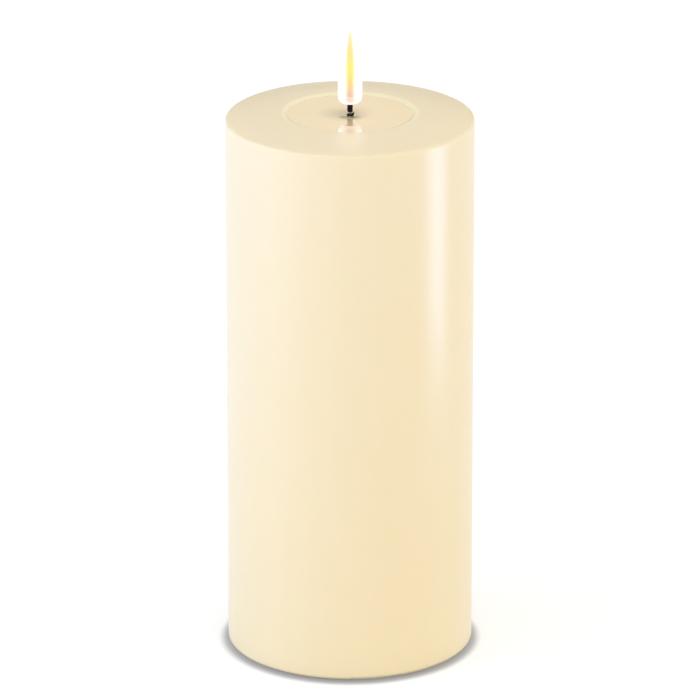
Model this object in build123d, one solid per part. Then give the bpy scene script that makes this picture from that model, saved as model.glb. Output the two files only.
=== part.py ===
"""Flameless pillar candle: a hollow wax shell with a glossy melt pool, a wick that carries a hollow LED
flame, and a plug-in base module that holds two cells, a control board and a three-position slide switch.

Millimetres. +Z is up. The origin is on the surface that the candle stands on, on the candle's axis.
The battery door is on the underside and its hinge lies along X on the -Y side.
"""
from build123d import *
from math import atan2, cos, hypot, pi, radians, sin, sqrt, tan
import os

# ---------------------------------------------------------------- wax shell
candle_diameter = 75.0
rim_height = 168.0          # standing surface to the outer rim
crown_rise = 1.6            # the top swells this much from the rim to the lip round the pool
wax_wall = 6.5
wax_roof = 9.0              # lip to the ceiling of the hollow
wax_stand_off = 0.8         # the pads hold the wax this far off the surface
rim_round = 0.8
hem_round = 1.0             # rounding of the bottom outer edge
hollow_round = 4.0          # rounding where the hollow's wall meets its ceiling
socket_wall = 3.6           # wax left round the base module

# ---------------------------------------------------------------- melt pool
pool_diameter = 37.5
pool_depth = 0.45           # lip down to the pool's surface
pool_thickness = 1.8
lip_width = 1.85            # pool's edge out to the lip's crest

# ---------------------------------------------------------------- flame, wick and holder
flame_diameter = 7.2
flame_height = 24.7
flame_gap = 3.45            # pool's surface to the bottom of the flame
flame_wall = 1.0
flame_base_round = 2.0
flame_straight = 7.5        # height of the cylindrical part, above which it tapers
flame_tip_radius = 0.45
flame_tip_wall = 1.0        # along the axis, at the tip
core_diameter = 4.8
core_edge = 0.3             # bevel round the core's foot
core_straight = 1.0
core_cup_depth = 0.8        # how far the core comes down over the LED's dome
core_tip_gap = 0.4          # core's tip to the shell's inside
led_diameter = 3.0
led_flange_diameter = 3.8
led_flange_thickness = 0.9
led_height = 5.3            # flange's underside to the top of the dome
plug_opening_diameter = 4.2
plug_flange_thickness = 1.4
wick_diameter = 1.65
wick_bore = 1.1
wick_in_plug = 0.9          # length of wick inside the flame's plug
leg_diameter = 0.4
leg_spacing = 0.52
leg_hole_radius = 0.66
press_gap = 0.02            # radial gap of a pushed-in joint
cut_through = 1.0           # how far a cutting solid runs past what it cuts
holder_stem_diameter = 6.0
holder_flange_diameter = 18.0
holder_flange_thickness = 2.0
holder_skirt_diameter = 8.0
holder_skirt_length = 12.0  # ceiling to the skirt's lower end
holder_chamber_diameter = 5.4
holder_web = 0.5            # chamber's top, below the ceiling
wick_stop = 1.0             # the wick's lower end, above the ceiling
leg_spread_start = 1.5      # below the ceiling, where the LED's legs start to part
leg_spread_end = 4.0
sleeve_wall = 0.35
sleeve_up = 1.3             # heat-shrink above the solder joint
sleeve_down = 2.5
wire_diameter = 1.2
wire_spacing = 2.4          # between the two flame leads
thin_wire_diameter = 1.0    # the battery's and the switch's leads
battery_land = (4.5, 5.5)   # from the board's end and its centre line to where a battery lead is soldered
switch_lead_spread = 1.15   # how much the switch's leads fan out

# ---------------------------------------------------------------- base module
base_fit = 0.15             # radial gap between the skirt and the wax
plate_recess = 1.0          # wax's lower edge up to the plate's underside
plate_thickness = 2.8
skirt_wall = 1.6
skirt_height = 19.0         # above the plate
pad_diameter = 7.0
pad_pocket_depth = 0.6
pad_inset = 4.75            # pad's centre in from the skirt's outside
pad_angle = 56.5            # degrees from X
pad_edge_round = 0.4
plate_bevel = 0.4

# ---------------------------------------------------------------- cells and battery box
cell_diameter = 14.2
cell_length = 50.2          # with the nub
nub_diameter = 5.4
nub_height = 1.2
cell_edge_round = 0.6
cell_gap = 0.6              # between the two cells
cell_clearance = 0.4        # cell to wall, roof and door
box_wall = 1.5
contact_thickness = 0.4
contact_width = 8.6
contact_height = 9.0
bridge_height = 4.0         # strip between the two halves of the bridge contact
corner_cut_gap = 0.3        # contact plate to the well's cut-off corner
dimple_rise = 0.8
dimple_radius = 1.8
spring_length = 2.9         # as pressed by its cell
spring_wire = 0.6
spring_turns = 3
spring_steps = 8            # straight runs to a turn, joined by arcs
spring_base_radius = 3.6
spring_top_radius = 2.5
tail_width = 2.4
tail_gap = 0.2              # tail to the edges of its slot in the roof
tail_rise = 3.5             # above the roof
divider_depth = 1.6         # rib under the roof between the cells
divider_width = 1.8
divider_gap = 0.2           # rib to each cell
divider_end_gap = 6.0
ear_reach = 3.4             # box's side to the centre of an ear's screw
ear_thickness = 2.0
ear_skirt_gap = 1.75        # ear's rim to the inside of the skirt
boss_radius = 2.6
boss_height = 5.5
pilot_radius = 0.85
screw_length = 6.0
screw_head_radius = 1.9
screw_head_height = 1.4
screw_hole_gap = 0.2        # radial, through an ear, a shell or the board
screw_crown = 0.4           # rounding of a head, as a share of its height
recess_reach = 0.55         # a cross recess's length, width and depth, as shares of its head
recess_width = 0.14
recess_depth = 0.45

# ---------------------------------------------------------------- battery door
door_thickness = 1.7
door_gap = 0.3
door_ledge = 0.8            # door's edge beyond the well on three sides
door_head_room = 0.2        # door's inside to the ledge above it
door_corner = 4.0
hinge_gap = 0.6             # beside the hinge, where the door's edge swings past
barrel_radius = 1.25
barrel_length = 24.0
hinge_offset = 2.6          # well's side to the hinge axis
hinge_slot_near = 1.0       # the hinge's slot and strip reach this far inside the well's side
pivot_radius = 0.7
pivot_length = 1.6
pivot_clearance = 0.05
tongue_width = 8.0
tongue_thickness = 1.1
tongue_height = 3.1
tongue_gap = 0.4            # tongue's face to the well's side
tongue_end_round = 0.3
bead_height = 1.0
bead_reach = 0.2
bead_drop = 0.6             # tongue's end down to the bead
scoop_radius = 4.5          # finger scoop beside the door's free edge
scoop_depth = 1.2
grip_groove_count = 4
grip_groove_depth = 0.35
grip_groove_width = 0.7
grip_groove_pitch = 1.5
grip_groove_shrink = 1.2    # each groove is this much shorter than the last
grip_edge = 2.2             # door's free edge to the first groove
door_rib_height = 0.25      # ribs on the door under the cells
door_rib_width = 1.0

# ---------------------------------------------------------------- slide switch
switch_length = 12.7
switch_width = 5.8
switch_height = 4.7
switch_offset = 8.2         # battery box's side to the switch's centre
switch_skin = 0.3           # thickness of the metal shell
switch_ear = 3.6            # length of each mounting ear
switch_ear_inset = 0.6      # each ear is this much narrower than the shell, a side
switch_play = 0.1           # sliding block to the shell's floor
switch_boss_height = 1.0
switch_screw_length = 3.0
switch_screw_radius = 0.75
switch_screw_head = 1.5
switch_screw_head_height = 0.9
switch_boss_wall = 1.1
travel = 2.0                # each way from the middle position
actuator_length = 5.6
actuator_thickness = 1.6
stem_length = 3.0
stem_width = 2.0
stem_recess = 0.5           # stem's end above the plate's underside
stem_slack = 0.3
stem_groove_width = 0.35
stem_groove_pitch = 0.9
thumb_recess_depth = 1.0
thumb_recess_margin = 1.5   # round the stem's window
terminal_pitch = 2.8
terminal_width = 0.8
terminal_thickness = 0.4
terminal_rise = 3.4
terminal_pad = (1.6, 2.4, 0.25)
carrier_thickness = 1.0     # insulating board that closes the switch
wiper_length = 3.4
wiper_width = 2.0
wiper_thickness = 0.25
wiper_finger = 0.9
wiper_play = 0.05           # wiper's fingers to the terminals' pads

# ---------------------------------------------------------------- control board
board_length = 44.0
board_width = 25.0
board_thickness = 1.6
board_rise = 3.0            # stand-offs' height above the box's roof
stand_off_radius = 2.3
board_screw_inset = 3.0
board_screw_length = 5.0
header_length = 7.6
header_width = 5.8
header_height = 6.0
header_wall = 0.8
header_pin = 0.64
header_pin_drop = 1.0       # pin's end below the shroud's mouth
header_x = 10.0
plug_gap = 0.1
plug_rise = 3.0             # plug's top above the header
plug_pitch = 2.5
board_corner = 1.5
land_inset = 2.0            # board's edge to the wires soldered along it

# ---------------------------------------------------------------- parts on the control board
chip_size = (8.7, 3.9, 1.5)
chip_place = (-6.0, 5.2)
chip_leg_count = 7
chip_leg_pitch = 1.27
chip_leg_size = (0.42, 6.0, 0.22)
crystal_radius = 1.0
crystal_length = 6.0
crystal_place = (-6.5, -1.6)
crystal_round = 0.25
capacitor_radius = 2.5
capacitor_height = 7.0
capacitor_place = (-14.5, -1.0)
capacitor_round = 0.5
resistor_count = 4
resistor_size = (2.0, 1.2, 0.5)
resistor_pitch = 3.2
resistor_place = (-8.0, -6.4)
transistor_size = (2.9, 1.4, 1.0)
transistor_place = (3.2, 4.6)
transistor_leg_size = (0.45, 0.7, 0.2)
transistor_leg_pitch = 0.95

# route of the flame's leads from the solder joints to the plug: share of the drop, x, y
flame_lead_route = [(0, 0, 0), (0.15, 0, 0), (0.33, -3.6, 3), (0.52, -6.2, 5.2), (0.70, -2.6, 5.8),
                    (0.85, header_x - 4.4, 2.8), (0.93, header_x, 0), (1, header_x, 0)]

# ---------------------------------------------------------------- worked out from the above
candle_radius = candle_diameter / 2
hollow_radius = candle_radius - wax_wall
socket_radius = candle_radius - socket_wall
wax_z = wax_stand_off
lip_z = rim_height + crown_rise
pool_radius = pool_diameter / 2
pool_z = lip_z - pool_depth
pool_floor_z = pool_z - pool_thickness
ceiling_z = lip_z - wax_roof
lip_radius = pool_radius + lip_width

flame_radius = flame_diameter / 2
flame_z = pool_z + flame_gap
flame_top_z = flame_z + flame_height
wick_radius = wick_diameter / 2
wick_top_z = flame_z + wick_in_plug
wick_bottom_z = ceiling_z + wick_stop
plug_thickness = flame_wall + plug_flange_thickness
led_z = flame_z + plug_thickness
dome_z = led_z + led_height - led_diameter / 2
core_z = led_z + led_height - core_cup_depth
joint_z = ceiling_z - holder_skirt_length / 2   # where each LED leg meets its wire

plate_z = wax_z + plate_recess
floor_z = plate_z + plate_thickness
skirt_radius = socket_radius - base_fit
skirt_top_z = floor_z + skirt_height

cell_radius = cell_diameter / 2
cell_y = (cell_diameter + cell_gap) / 2
well_length = cell_length + dimple_rise + spring_length + 2 * contact_thickness
well_width = 2 * cell_diameter + cell_gap + 2 * cell_clearance
door_top_z = plate_z + door_thickness
cell_z = door_top_z + cell_clearance + cell_radius
roof_z = cell_z + cell_radius + cell_clearance
roof_top_z = roof_z + box_wall
box_half_x = well_length / 2 + box_wall
box_half_y = well_width / 2 + box_wall
corner_radius = hypot(well_length / 2, cell_y + contact_width / 2 + corner_cut_gap)
ear_y = box_half_y + ear_reach
ear_x = sqrt((skirt_radius - skirt_wall - ear_skirt_gap - boss_radius) ** 2 - ear_y ** 2)
boss_top_z = floor_z + boss_height

door_half_x = well_length / 2 + door_ledge
door_half_y = well_width / 2 + door_ledge
ledge_z = door_top_z + door_head_room
hinge_y = -(well_width / 2 + hinge_offset)
hinge_z = plate_z + barrel_radius

switch_y = box_half_y + switch_offset
switch_floor_z = floor_z + switch_boss_height
switch_top_z = switch_floor_z + switch_height
switch_ear_x = switch_length / 2 + switch_ear / 2
slider_z = switch_floor_z + switch_skin + switch_play
window_x = stem_length + 2 * travel + 2 * stem_slack
window_y = stem_width + 2 * stem_slack
switch_inner = (switch_length - 2 * switch_skin, switch_width - 2 * switch_skin)
contact_z = switch_top_z - carrier_thickness - terminal_pad[2]
terminal_top_z = switch_top_z + terminal_rise

board_z = roof_top_z + board_rise
board_top_z = board_z + board_thickness
plug_top_z = board_top_z + header_height + plug_rise
tail_top_z = roof_top_z + tail_rise
tail_x = (contact_thickness - well_length) / 2


# ================================================================ helpers
on_its_base = (Align.CENTER, Align.CENTER, Align.MIN)


def turned(edges):
    """The solid made by turning a closed outline in XZ about Z."""
    return revolve(make_face(edges), Axis.Z)


def outline(*points):
    """Straight edges through the points, each (radius, z), as a list."""
    places = [(r, 0, z) for r, z in points]
    return [Line(a, b) for a, b in zip(places, places[1:])]


def arc(start, end, tangent):
    """An arc in XZ that leaves start along tangent."""
    return TangentArc((start[0], 0, start[1]), (end[0], 0, end[1]), tangent=(tangent[0], 0, tangent[1]))


def disc(radius, low, high):
    """A cylinder on the candle's axis from one height to another."""
    return Pos(0, 0, low) * Cylinder(radius, high - low, align=on_its_base)


def block(size_x, size_y, low, high, x=0.0, y=0.0):
    """A box centred on (x, y) from one height to another."""
    return Pos(x, y, low) * Box(size_x, size_y, high - low, align=on_its_base)


def rounded_block(size_x, size_y, corner, low, high, x=0.0, y=0.0):
    """A box with rounded upright edges."""
    sketch = Pos(x, y, low) * RectangleRounded(size_x, size_y, corner)
    return extrude(sketch, high - low)


def post(radius, low, high, x, y):
    """An upright cylinder at (x, y)."""
    return Pos(x, y, 0) * disc(radius, low, high)


def rod(radius, low_x, high_x, y, z):
    """A cylinder along X."""
    return Pos(low_x, y, z) * Rot(0, 90, 0) * Cylinder(radius, high_x - low_x, align=on_its_base)


def corners(x, y):
    """The four points (+-x, +-y), anticlockwise from +x +y."""
    return [(x, y), (-x, y), (-x, -y), (x, -y)]


def as_one(pieces):
    """Separate solids kept together in one node."""
    return Compound(children=list(pieces))


def lead(points, diameter):
    """A round wire along straight runs joined by arcs as large as the runs allow."""
    spots = [Vector(*p) for p in points]
    radii = []
    for before, here, after in zip(spots, spots[1:], spots[2:]):
        short = min((here - before).length, (after - here).length)
        turn = radians((here - before).get_angle(after - here))
        radii.append(0.45 * short / tan(turn / 2))
    path = FilletPolyline(*spots, radius=radii)
    wire = sweep(Plane(origin=path @ 0, z_dir=path % 0) * Circle(diameter / 2), path=path)
    share = wire.volume / (pi * diameter ** 2 / 4 * path.length)
    print(f"wire {path.length:.1f} mm, tightest bend {min(radii):.1f} mm, volume share {share:.4f}")
    return wire


def screw(x, y, seat_z, length, shank, head, head_height):
    """A pan-head screw that points down, its head resting on seat_z, with a cross recess in the head."""
    top = seat_z + head_height
    piece = post(shank, seat_z - length, seat_z, x, y) + post(head, seat_z, top, x, y)
    piece = fillet(piece.edges().group_by(Axis.Z)[-1], head_height * screw_crown)
    long, short = 2 * head * recess_reach, 2 * head * recess_width
    for size_x, size_y in ((long, short), (short, long)):
        piece -= block(size_x, size_y, top - head_height * recess_depth, top + cut_through, x, y)
    return piece


# ================================================================ wax and pool
def wax_shell():
    """The wax: a domed top with a smooth lip down to the pool, hollow inside, open at the foot."""
    r, foot, rim, hollow = candle_radius, wax_z, rim_height, hollow_radius
    stem, corner = holder_stem_diameter / 2, hollow_radius - hollow_round
    crest, shore, rim_edge = (lip_radius, lip_z), (pool_radius, pool_z), (r - rim_round, rim)
    edges = outline((socket_radius, foot), (r - hem_round, foot))
    edges.append(arc((r - hem_round, foot), (r, foot + hem_round), (1, 0)))
    edges += outline((r, foot + hem_round), (r, rim - rim_round))
    edges.append(arc((r, rim - rim_round), rim_edge, (0, 1)))
    edges.append(arc(crest, rim_edge, (1, 0)))
    edges.append(arc(crest, shore, (-1, 0)))
    edges += outline(shore, (pool_radius, pool_floor_z), (stem, pool_floor_z), (stem, ceiling_z),
                     (corner, ceiling_z))
    edges.append(arc((corner, ceiling_z), (hollow, ceiling_z - hollow_round), (1, 0)))
    edges += outline((hollow, ceiling_z - hollow_round), (hollow, skirt_top_z), (socket_radius, skirt_top_z),
                     (socket_radius, foot))
    return turned(edges)


def melt_pool():
    """The clear resin disc that looks like melted wax, with the wick's hole."""
    resin = disc(pool_radius, pool_floor_z, pool_z)
    return resin - disc(wick_radius + press_gap, pool_floor_z - cut_through, pool_z + cut_through)


# ================================================================ flame and wick
def taper(radius, straight_top, top):
    """The bowed side of a flame and its round tip, from the top of its straight part to the axis."""
    tip = flame_tip_radius
    rise = top - tip - straight_top
    bow = (radius ** 2 + rise ** 2 - tip ** 2) / (2 * (radius - tip))
    lean = atan2(rise, bow - radius)
    join = (tip * cos(lean), top - tip + tip * sin(lean))
    return [arc((radius, straight_top), join, (0, 1)), arc(join, (0, top), (-sin(lean), cos(lean)))]


def flame_shell():
    """The hollow flame, open at the bottom for its plug."""
    z, r, inner, mouth = flame_z, flame_radius, flame_radius - flame_wall, plug_opening_diameter / 2
    straight, top, inside_top = z + flame_straight, flame_top_z, flame_top_z - flame_tip_wall
    edges = outline((mouth, z), (r - flame_base_round, z))
    edges.append(arc((r - flame_base_round, z), (r, z + flame_base_round), (1, 0)))
    edges += outline((r, z + flame_base_round), (r, straight))
    edges += taper(r, straight, top)
    edges += outline((0, top), (0, inside_top))
    edges += taper(inner, straight, inside_top)
    edges += outline((inner, straight), (inner, z + flame_wall), (mouth, z + flame_wall), (mouth, z))
    return turned(edges)


def flame_core():
    """The light guide inside the flame, cupped over the LED's dome."""
    low, radius = core_z, core_diameter / 2
    straight, top = low + core_straight, flame_top_z - flame_tip_wall - core_tip_gap
    edges = outline((0, low), (radius - core_edge, low), (radius, low + core_edge), (radius, straight))
    edges += taper(radius, straight, top)
    edges += outline((0, top), (0, low))
    return turned(edges) - Pos(0, 0, dome_z) * Sphere(led_diameter / 2)


def flame_plug():
    """The seat that closes the flame's bottom and carries the LED on the wick's end."""
    seat_z = flame_z + flame_wall
    piece = disc(plug_opening_diameter / 2 - press_gap, flame_z, seat_z)
    piece += disc(flame_radius - flame_wall - press_gap, seat_z, led_z)
    piece -= disc(wick_radius + press_gap, flame_z - cut_through, wick_top_z)
    return piece - disc(leg_hole_radius, flame_z, led_z + cut_through)


def led_emitter():
    """The warm-white LED's body: flange, barrel and dome."""
    piece = disc(led_flange_diameter / 2, led_z, led_z + led_flange_thickness)
    piece += disc(led_diameter / 2, led_z, dome_z)
    return piece + Pos(0, 0, dome_z) * Sphere(led_diameter / 2)


def led_legs():
    """The LED's two legs, straight down the wick and spread below it to meet the wires."""
    legs = []
    for side in (-1, 1):
        near, far = side * leg_spacing / 2, side * wire_spacing / 2
        legs.append(lead([(near, 0, led_z), (near, 0, ceiling_z - leg_spread_start),
                          (far, 0, ceiling_z - leg_spread_end), (far, 0, joint_z)], leg_diameter))
    return as_one(legs)


def wick():
    """The stiff black wick, a sleeve over the LED's legs."""
    sleeve = disc(wick_radius, wick_bottom_z, wick_top_z)
    return sleeve - disc(wick_bore / 2, wick_bottom_z - cut_through, wick_top_z + cut_through)


def wick_holder():
    """The flanged bush under the wax roof that holds the wick upright and shields the solder joints."""
    piece = disc(holder_stem_diameter / 2, ceiling_z, pool_floor_z)
    piece += disc(holder_flange_diameter / 2, ceiling_z - holder_flange_thickness, ceiling_z)
    piece += disc(holder_skirt_diameter / 2, ceiling_z - holder_skirt_length, ceiling_z)
    piece -= disc(wick_radius + press_gap, wick_bottom_z, pool_z)
    piece -= disc(leg_hole_radius, ceiling_z - holder_flange_thickness, pool_z)
    chamber_low = ceiling_z - holder_skirt_length - cut_through
    return piece - disc(holder_chamber_diameter / 2, chamber_low, ceiling_z - holder_web)


def joint_sleeve(side):
    """The heat-shrink tube over one solder joint."""
    x, bore = side * wire_spacing / 2, wire_diameter / 2
    low, high = joint_z - sleeve_down, joint_z + sleeve_up
    return post(bore + sleeve_wall, low, high, x, 0) - post(bore, low - cut_through, high + cut_through, x, 0)


def flame_lead(side):
    """One of the pair of wires from the LED's joint down to the plug on the board."""
    start_x, end_x = side * wire_spacing / 2, side * plug_pitch / 2
    drop = joint_z - plug_top_z
    points = []
    for share, x, y in flame_lead_route:
        apart = start_x + min(1, share / flame_lead_route[-2][0]) * (end_x - start_x)
        points.append((x + apart, y, joint_z - share * drop))
    return lead(points, wire_diameter)


# ================================================================ base module
def pad_centres():
    """The centres of the four rubber pads."""
    circle, angle = skirt_radius - pad_inset, radians(pad_angle)
    return corners(circle * cos(angle), circle * sin(angle))


def door_opening():
    """What the door needs cut from the plate: its pocket, the well above it and the hinge's slot."""
    below, above = plate_z - cut_through, floor_z + cut_through
    pocket_x, pocket_y = 2 * (door_half_x + door_gap), 2 * (door_half_y + door_gap)
    piece = rounded_block(pocket_x, pocket_y, door_corner, below, ledge_z)
    piece += rounded_block(pocket_x, pocket_y, door_corner, below, ledge_z, y=door_gap - hinge_gap)
    piece += rounded_block(well_length, well_width, door_corner - door_ledge, plate_z, above)
    far, near = hinge_y - barrel_radius - door_gap, hinge_slot_near - well_width / 2
    return piece + block(barrel_length + 2 * door_gap, near - far, below, above, y=(far + near) / 2)


def base_plate():
    """The plastic cup that closes the foot: plate, skirt, bosses, hinge sockets and switch window."""
    below, above = plate_z - cut_through, floor_z + cut_through
    piece = disc(skirt_radius, plate_z, skirt_top_z)
    piece -= disc(skirt_radius - skirt_wall, floor_z, skirt_top_z + cut_through)
    piece = chamfer(piece.faces().sort_by(Axis.Z)[0].outer_wire().edges(), plate_bevel)
    for x, y in corners(ear_x, ear_y):
        piece += post(boss_radius, floor_z, boss_top_z, x, y)
        piece -= post(pilot_radius + press_gap, boss_top_z - screw_length, boss_top_z + cut_through, x, y)
    for x in (-switch_ear_x, switch_ear_x):
        low, high = switch_floor_z - switch_screw_length, switch_floor_z + cut_through
        piece += post(switch_screw_radius + switch_boss_wall, floor_z, switch_floor_z, x, switch_y)
        piece -= post(switch_screw_radius + press_gap, low, high, x, switch_y)
    for x, y in pad_centres():
        piece -= post(pad_diameter / 2, below, plate_z + pad_pocket_depth, x, y)
    reach = barrel_length / 2 + pivot_length + door_gap
    piece -= door_opening() + rod(pivot_radius + pivot_clearance, -reach, reach, hinge_y, hinge_z)
    piece -= block(window_x, window_y, below, above, y=switch_y)
    piece -= rounded_block(window_x + 2 * thumb_recess_margin, window_y + 2 * thumb_recess_margin,
                           thumb_recess_margin, below, plate_z + thumb_recess_depth, y=switch_y)
    return piece - post(scoop_radius, below, plate_z + scoop_depth, 0, door_half_y)


def foot_pad(centre):
    """A rubber pad glued into its pocket under the plate."""
    pad = post(pad_diameter / 2, 0, plate_z + pad_pocket_depth, *centre)
    return fillet(pad.edges().group_by(Axis.Z)[0], pad_edge_round)


def cell_space(radius):
    """Two cylinders along the well, where the cells lie."""
    half = well_length / 2
    return rod(radius, -half, half, -cell_y, cell_z) + rod(radius, -half, half, cell_y, cell_z)


def battery_box():
    """The moulded box over the cells, with ears, stand-offs for the board and slots for the terminals."""
    below, outer = floor_z - cut_through, corner_radius + box_wall
    piece = block(2 * box_half_x, 2 * box_half_y, floor_z, roof_top_z) & disc(outer, floor_z, roof_top_z)
    piece -= block(well_length, well_width, below, roof_z) & disc(corner_radius, below, roof_z)
    low, high = boss_top_z, boss_top_z + ear_thickness
    for x, y in corners(ear_x, ear_y):
        neck_y = y - ear_reach / 2 if y > 0 else y + ear_reach / 2
        piece += post(boss_radius, low, high, x, y) + block(2 * boss_radius, ear_reach, low, high, x, neck_y)
        piece -= post(pilot_radius + screw_hole_gap, low - cut_through, high + cut_through, x, y)
    for x, y in board_screw_centres():
        piece += post(stand_off_radius, roof_top_z, board_z, x, y)
        piece -= post(pilot_radius + press_gap, board_top_z - board_screw_length, board_top_z, x, y)
    divider = block(well_length - 2 * divider_end_gap, divider_width, roof_z - divider_depth, roof_z)
    piece += divider - cell_space(cell_radius + divider_gap)
    for y in (-cell_y, cell_y):
        piece -= block(contact_thickness + 2 * tail_gap, tail_width + 2 * tail_gap, roof_z - cut_through,
                       roof_top_z + cut_through, tail_x + tail_gap, y)
    return piece


def box_screws():
    """The four screws through the battery box's ears into the base plate."""
    seat = boss_top_z + ear_thickness
    return as_one(screw(x, y, seat, screw_length + ear_thickness, pilot_radius, screw_head_radius,
                        screw_head_height) for x, y in corners(ear_x, ear_y))


def battery_door():
    """The hinged door: a plate with a barrel, two pivots, a latch tongue, cell ribs and finger grooves."""
    piece = rounded_block(2 * door_half_x, 2 * door_half_y, door_corner, plate_z, door_top_z)
    near = hinge_slot_near - well_width / 2
    piece += block(barrel_length, near - hinge_y, plate_z, door_top_z, y=(near + hinge_y) / 2)
    barrel_end = barrel_length / 2
    pivot_end = barrel_end + pivot_length
    piece += rod(barrel_radius, -barrel_end, barrel_end, hinge_y, hinge_z)
    piece += rod(pivot_radius, -pivot_end, pivot_end, hinge_y, hinge_z)
    face_y, end_z = well_width / 2 - tongue_gap, door_top_z + tongue_height
    tongue = block(tongue_width, tongue_thickness, plate_z, end_z, y=face_y - tongue_thickness / 2)
    tongue = fillet(tongue.edges().filter_by(Axis.X).group_by(Axis.Z)[-1], tongue_end_round)
    bead_z = end_z - bead_drop - bead_height
    piece += tongue + block(tongue_width, 2 * bead_reach, bead_z, bead_z + bead_height, y=face_y)
    for x in (-well_length / 4, well_length / 4):
        for y in (-cell_y, cell_y):
            piece += block(door_rib_width, cell_radius, plate_z, door_top_z + door_rib_height, x, y)
    for row in range(grip_groove_count):
        length, y = tongue_width - row * grip_groove_shrink, door_half_y - grip_edge - row * grip_groove_pitch
        piece -= block(length, grip_groove_width, plate_z - cut_through, plate_z + grip_groove_depth, y=y)
    return piece


# ================================================================ cells and their contacts
def cell(side):
    """One cell along X, its positive end towards side."""
    end = side * (well_length / 2 - contact_thickness - dimple_rise)
    shoulder, tail_end, y = end - side * nub_height, end - side * cell_length, side * cell_y
    body = rod(cell_radius, min(shoulder, tail_end), max(shoulder, tail_end), y, cell_z)
    body = fillet(body.edges().filter_by(GeomType.CIRCLE), cell_edge_round)
    return body + rod(nub_diameter / 2, min(shoulder, end), max(shoulder, end), y, cell_z)


def contact_plate(x_side, y):
    """A flat spring-steel plate against an end wall of the well."""
    half = contact_height / 2
    return block(contact_thickness, contact_width, cell_z - half, cell_z + half, -x_side * tail_x, y)


def dimple(x_side, y):
    """The raised spot on a contact plate that the cell's nub meets."""
    seat = x_side * (well_length / 2 - contact_thickness)
    low, high = sorted((seat, seat - x_side * dimple_rise))
    return rod(dimple_radius, low, high, y, cell_z)


def tail(y):
    """The solder tail of a terminal, up through its slot in the box's roof."""
    return block(contact_thickness, tail_width, cell_z, tail_top_z, tail_x, y)


def bridge_contact():
    """The plate at the far end that joins the two cells in series."""
    half = bridge_height / 2
    strip = block(contact_thickness, 2 * cell_y, cell_z - half, cell_z + half, -tail_x)
    return contact_plate(1, -cell_y) + contact_plate(1, cell_y) + strip + dimple(1, cell_y)


def positive_terminal():
    """The plate that the front cell's nub meets, with its solder tail."""
    return contact_plate(-1, -cell_y) + dimple(-1, -cell_y) + tail(-cell_y)


def negative_terminal():
    """The plate behind the rear cell's spring, with its solder tail."""
    return contact_plate(-1, cell_y) + tail(cell_y)


def contact_spring(x_side, y):
    """A conical coil spring between a contact plate and a cell's flat end."""
    rise = spring_length - spring_wire - 2 * press_gap
    start = x_side * (well_length / 2 - contact_thickness - spring_wire / 2 - press_gap)
    steps = spring_turns * spring_steps
    points = []
    for step in range(steps + 1):
        angle = 2 * pi * step / spring_steps
        radius = spring_base_radius + (spring_top_radius - spring_base_radius) * step / steps
        points.append((radius * cos(angle), radius * sin(angle), rise * step / steps))
    return Pos(start, y, cell_z) * Rot(0, -90 * x_side, 0) * lead(points, spring_wire)


# ================================================================ slide switch
def switch_shell():
    """The switch's metal shell: a can with a slot for the stem and an ear at each end."""
    low, high, inner = switch_floor_z, switch_top_z, switch_inner
    below = low - cut_through
    can = block(switch_length, switch_width, low, high, y=switch_y)
    can -= block(*inner, low + switch_skin, high + cut_through, y=switch_y)
    can += block(switch_length + 2 * switch_ear, switch_width - 2 * switch_ear_inset, low, low + switch_skin,
                 y=switch_y)
    can -= block(window_x, window_y, below, low + cut_through, y=switch_y)
    for x in (-switch_ear_x, switch_ear_x):
        can -= post(switch_screw_radius + screw_hole_gap, below, low + cut_through, x, switch_y)
    return can


def terminal_places():
    """The four terminals along the switch."""
    return [terminal_pitch * (number - 1.5) for number in range(4)]


def switch_carrier():
    """The insulating board that closes the shell and holds the terminals."""
    low = switch_top_z - carrier_thickness
    piece = block(*switch_inner, low, switch_top_z, y=switch_y)
    for x in terminal_places():
        piece -= block(terminal_width, terminal_thickness, low - cut_through, switch_top_z + cut_through, x,
                       switch_y)
    return piece


def switch_terminals():
    """Four flat pins with contact pads under the carrier."""
    pad_x, pad_y, pad_thickness = terminal_pad
    pins = []
    for x in terminal_places():
        pin = block(terminal_width, terminal_thickness, contact_z, terminal_top_z, x, switch_y)
        pins.append(pin + block(pad_x, pad_y, contact_z, contact_z + pad_thickness, x, switch_y))
    return as_one(pins)


def switch_actuator():
    """The sliding block with the stem that a fingertip pushes."""
    width, end_z = switch_inner[1] - 4 * switch_play, plate_z + stem_recess
    piece = block(actuator_length, width, slider_z, slider_z + actuator_thickness, y=switch_y)
    piece += block(stem_length, stem_width, end_z, slider_z + actuator_thickness, y=switch_y)
    for x in (-stem_groove_pitch, 0, stem_groove_pitch):
        piece -= block(stem_groove_width, stem_width, plate_z, end_z + stem_groove_width, x, switch_y)
    return piece


def switch_wiper():
    """The sprung bridge on top of the sliding block that joins neighbouring terminals."""
    low, high = slider_z + actuator_thickness, contact_z - wiper_play
    piece = block(wiper_length, wiper_width, low, low + wiper_thickness, y=switch_y)
    for side in (-1, 1):
        post_x = side * (wiper_length - wiper_thickness) / 2
        finger_x = side * (wiper_length - wiper_finger) / 2
        piece += block(wiper_thickness, wiper_width, low, high, post_x, switch_y)
        piece += block(wiper_finger, wiper_width, high - wiper_thickness, high, finger_x, switch_y)
    return piece


def switch_screws():
    """The two small screws through the shell's ears."""
    seat = switch_floor_z + switch_skin
    return as_one(screw(x, switch_y, seat, switch_screw_length + switch_skin, switch_screw_radius,
                        switch_screw_head, switch_screw_head_height) for x in (-switch_ear_x, switch_ear_x))


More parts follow.
